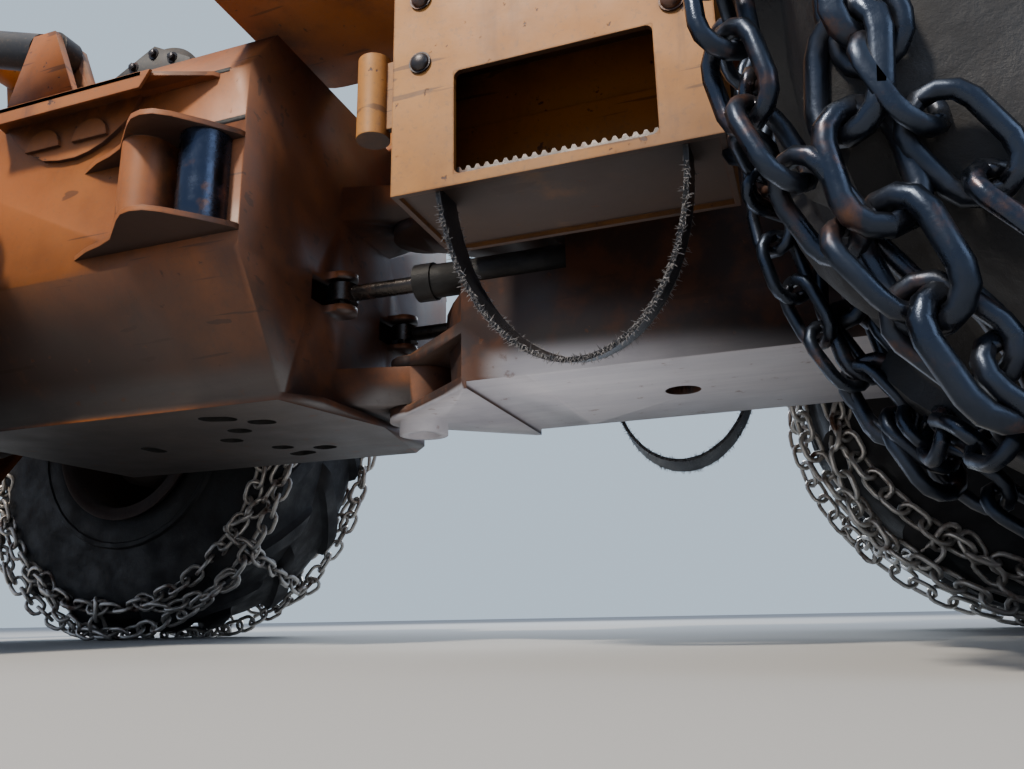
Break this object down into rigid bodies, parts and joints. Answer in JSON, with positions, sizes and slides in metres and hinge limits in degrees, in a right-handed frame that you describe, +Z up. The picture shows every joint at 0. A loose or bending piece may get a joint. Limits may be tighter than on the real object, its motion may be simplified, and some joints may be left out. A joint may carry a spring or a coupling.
{
  "type": "articulated grapple skidder",
  "caption": "Articulated forestry skidder with chained tyres, a front blade, a glazed cab with two doors, rubber step loops, and a tilting arch with boom and rotating grapple.",
  "frame": {"origin": "middle of the machine's length and width, on the ground under the chains", "axes": "+X forward towards the blade, +Y to the machine's left, +Z up"},
  "size_m": [6.23, 2.71, 3.1203],
  "materials": {
    "yellow_paint": "worn matte",
    "black_paint": "satin",
    "cast_iron": "rusty",
    "bare_steel": "worn",
    "tyre_rubber": "worn",
    "belt_rubber": "frayed",
    "window_glass": "clear",
    "seat_cover": "worn"
  },
  "bodies": {
    "front": {"front_frame": "yellow_paint", "side_steps": "yellow_paint", "step_loops": "belt_rubber", "hood": "yellow_paint", "grille": "black_paint", "engine_block": "cast_iron", "cab_body": "yellow_paint", "cab_roof": "yellow_paint", "cab_glass": "window_glass", "seat": "seat_cover", "controls": "black_paint", "front_axle": "cast_iron", "lamps": "window_glass", "stacks": "black_paint", "limb_risers": "black_paint", "tanks": "yellow_paint"},
    "rear": {"rear_frame": "yellow_paint", "side_rollers": "bare_steel", "winch": "black_paint", "rear_axle": "cast_iron"},
    "front_wheel_left": {"tyre_front_left": "tyre_rubber", "wheel_front_left": "yellow_paint"},
    "front_wheel_right": {"tyre_front_right": "tyre_rubber", "wheel_front_right": "yellow_paint"},
    "rear_wheel_left": {"tyre_rear_left": "tyre_rubber", "wheel_rear_left": "yellow_paint"},
    "rear_wheel_right": {"tyre_rear_right": "tyre_rubber", "wheel_rear_right": "yellow_paint"},
    "door_left": {"door_left": "yellow_paint", "door_glass_left": "window_glass"},
    "door_right": {"door_right": "yellow_paint", "door_glass_right": "window_glass"},
    "blade": {"blade": "yellow_paint"},
    "blade_barrels": {"blade_barrels": "black_paint"},
    "blade_rods": {"blade_rods": "bare_steel"},
    "arch": {"arch": "yellow_paint"},
    "arch_barrels": {"arch_barrels": "black_paint"},
    "arch_rods": {"arch_rods": "bare_steel"},
    "boom": {"boom": "yellow_paint"},
    "boom_barrel": {"boom_barrel": "black_paint"},
    "boom_rod": {"boom_rod": "bare_steel"},
    "grapple_cross": {"grapple_cross": "black_paint"},
    "grapple_hanger": {"grapple_hanger": "black_paint"},
    "grapple_head": {"grapple_head": "yellow_paint"},
    "tong_left": {"tong_left": "yellow_paint"},
    "tong_right": {"tong_right": "yellow_paint"},
    "tong_barrel": {"tong_barrel": "black_paint"},
    "tong_rod": {"tong_rod": "bare_steel"},
    "steer_barrel_left": {"steer_barrel_left": "black_paint"},
    "steer_barrel_right": {"steer_barrel_right": "black_paint"},
    "steer_rod_left": {"steer_rod_left": "bare_steel"},
    "steer_rod_right": {"steer_rod_right": "bare_steel"}
  },
  "joints": [
    {"name": "wheel_front_left_spin", "type": "hinge", "parent": "front", "child": "front_wheel_left", "pos_m": [1.925, 0, 0.83], "axis": [0, 1, 0], "continuous": true},
    {"name": "wheel_rear_left_spin", "type": "hinge", "parent": "rear", "child": "rear_wheel_left", "pos_m": [-1.595, 0, 0.83], "axis": [0, 1, 0], "continuous": true},
    {"name": "wheel_front_right_spin", "type": "hinge", "parent": "front", "child": "front_wheel_right", "pos_m": [1.925, 0, 0.83], "axis": [0, 1, 0], "continuous": true},
    {"name": "wheel_rear_right_spin", "type": "hinge", "parent": "rear", "child": "rear_wheel_right", "pos_m": [-1.595, 0, 0.83], "axis": [0, 1, 0], "continuous": true},
    {"name": "steer", "type": "hinge", "parent": "front", "child": "rear", "pos_m": [0.125, 0, 0], "axis": [0, 0, 1], "range_deg": [-40, 40]},
    {"name": "steer_barrel_left_turn", "type": "hinge", "parent": "front", "child": "steer_barrel_left", "pos_m": [0.885, 0.18, 0.93], "axis": [0, 0, 1], "range_deg": [-6.88, 6.88]},
    {"name": "steer_rod_left_slide", "type": "slide", "parent": "steer_barrel_left", "child": "steer_rod_left", "axis": [-0.9999, 0.0109, 0], "range_m": [-0.12749, 0.12749]},
    {"name": "steer_barrel_right_turn", "type": "hinge", "parent": "front", "child": "steer_barrel_right", "pos_m": [0.885, -0.18, 0.93], "axis": [0, 0, 1], "range_deg": [-6.88, 6.88]},
    {"name": "steer_rod_right_slide", "type": "slide", "parent": "steer_barrel_right", "child": "steer_rod_right", "axis": [-0.9999, -0.0109, 0], "range_m": [-0.12749, 0.12749]},
    {"name": "blade_lift", "type": "hinge", "parent": "front", "child": "blade", "pos_m": [2.275, 0, 0.76], "axis": [0, -1, 0], "range_deg": [-25, 35]},
    {"name": "blade_barrels_turn", "type": "hinge", "parent": "front", "child": "blade_barrels", "pos_m": [2.275, 0, 1.18], "axis": [0, -1, 0], "range_deg": [-15.69, 21.97]},
    {"name": "blade_rods_slide", "type": "slide", "parent": "blade_barrels", "child": "blade_rods", "axis": [0.6814, 0, -0.7319], "range_m": [-0.18131, 0.12951]},
    {"name": "door_left_swing", "type": "hinge", "parent": "front", "child": "door_left", "pos_m": [0.627, 0.662, 2.22], "axis": [0, 0, 1], "range_deg": [0, 95]},
    {"name": "door_right_swing", "type": "hinge", "parent": "front", "child": "door_right", "pos_m": [0.627, -0.662, 2.22], "axis": [0, 0, -1], "range_deg": [0, 95]},
    {"name": "arch_tilt", "type": "hinge", "parent": "rear", "child": "arch", "pos_m": [-1.825, 0, 1.35], "axis": [0, -1, 0], "range_deg": [-10, 40]},
    {"name": "arch_barrels_turn", "type": "hinge", "parent": "rear", "child": "arch_barrels", "pos_m": [-0.905, 0, 1.75], "axis": [0, -1, 0], "range_deg": [-3.17, 12.65]},
    {"name": "arch_rods_slide", "type": "slide", "parent": "arch_barrels", "child": "arch_rods", "axis": [-0.9477, 0, 0.3192], "range_m": [-0.1058, 0.42318]},
    {"name": "boom_lift", "type": "hinge", "parent": "arch", "child": "boom", "pos_m": [-2.055, 0, 2.48], "axis": [0, 1, 0], "range_deg": [-16, 30]},
    {"name": "boom_barrel_turn", "type": "hinge", "parent": "arch", "child": "boom_barrel", "pos_m": [-1.955, 0, 1.62], "axis": [0, -1, 0], "range_deg": [-6.51, 3.47]},
    {"name": "boom_rod_slide", "type": "slide", "parent": "boom_barrel", "child": "boom_rod", "axis": [-0.6302, 0, 0.7765], "range_m": [-0.1254, 0.23512]},
    {"name": "grapple_swing", "type": "hinge", "parent": "boom", "child": "grapple_cross", "pos_m": [-2.925, 0, 2.4], "axis": [0, -1, 0], "range_deg": [-60, 15]},
    {"name": "grapple_side_swing", "type": "hinge", "parent": "grapple_cross", "child": "grapple_hanger", "pos_m": [-2.925, 0, 2.29], "axis": [1, 0, 0], "range_deg": [-15, 15]},
    {"name": "grapple_rotate", "type": "hinge", "parent": "grapple_hanger", "child": "grapple_head", "pos_m": [-2.925, 0, 2.04], "axis": [0, 0, 1], "continuous": true},
    {"name": "tong_left_open", "type": "hinge", "parent": "grapple_head", "child": "tong_left", "pos_m": [-2.925, 0.23, 1.83], "axis": [1, 0, 0], "range_deg": [0, 50]},
    {"name": "tong_right_open", "type": "hinge", "parent": "grapple_head", "child": "tong_right", "pos_m": [-2.925, -0.23, 1.83], "axis": [-1, 0, 0], "range_deg": [0, 50]},
    {"name": "tong_barrel_turn", "type": "hinge", "parent": "tong_right", "child": "tong_barrel", "pos_m": [-2.925, -0.31, 1.61], "axis": [1, 0, 0], "range_deg": [0, 50]},
    {"name": "tong_rod_slide", "type": "slide", "parent": "tong_barrel", "child": "tong_rod", "axis": [0, 1, 0], "range_m": [0, 0.30073]}
  ],
  "couplings": [
    {"joint": "steer_barrel_left_turn", "follows": "steer", "ratio": 0.172},
    {"joint": "steer_rod_left_slide", "follows": "steer", "m_per_rad": 0.1826},
    {"joint": "steer_barrel_right_turn", "follows": "steer", "ratio": 0.172},
    {"joint": "steer_rod_right_slide", "follows": "steer", "m_per_rad": -0.1826},
    {"joint": "blade_barrels_turn", "follows": "blade_lift", "ratio": 0.62754},
    {"joint": "blade_rods_slide", "follows": "blade_lift", "m_per_rad": -0.2968},
    {"joint": "arch_barrels_turn", "follows": "arch_tilt", "ratio": 0.31613},
    {"joint": "arch_rods_slide", "follows": "arch_tilt", "m_per_rad": 0.60616},
    {"joint": "boom_barrel_turn", "follows": "boom_lift", "ratio": -0.21671},
    {"joint": "boom_rod_slide", "follows": "boom_lift", "m_per_rad": 0.44903},
    {"joint": "tong_right_open", "follows": "tong_left_open", "ratio": 1},
    {"joint": "tong_barrel_turn", "follows": "tong_left_open", "ratio": 1},
    {"joint": "tong_rod_slide", "follows": "tong_left_open", "m_per_rad": 0.3446}
  ]
}
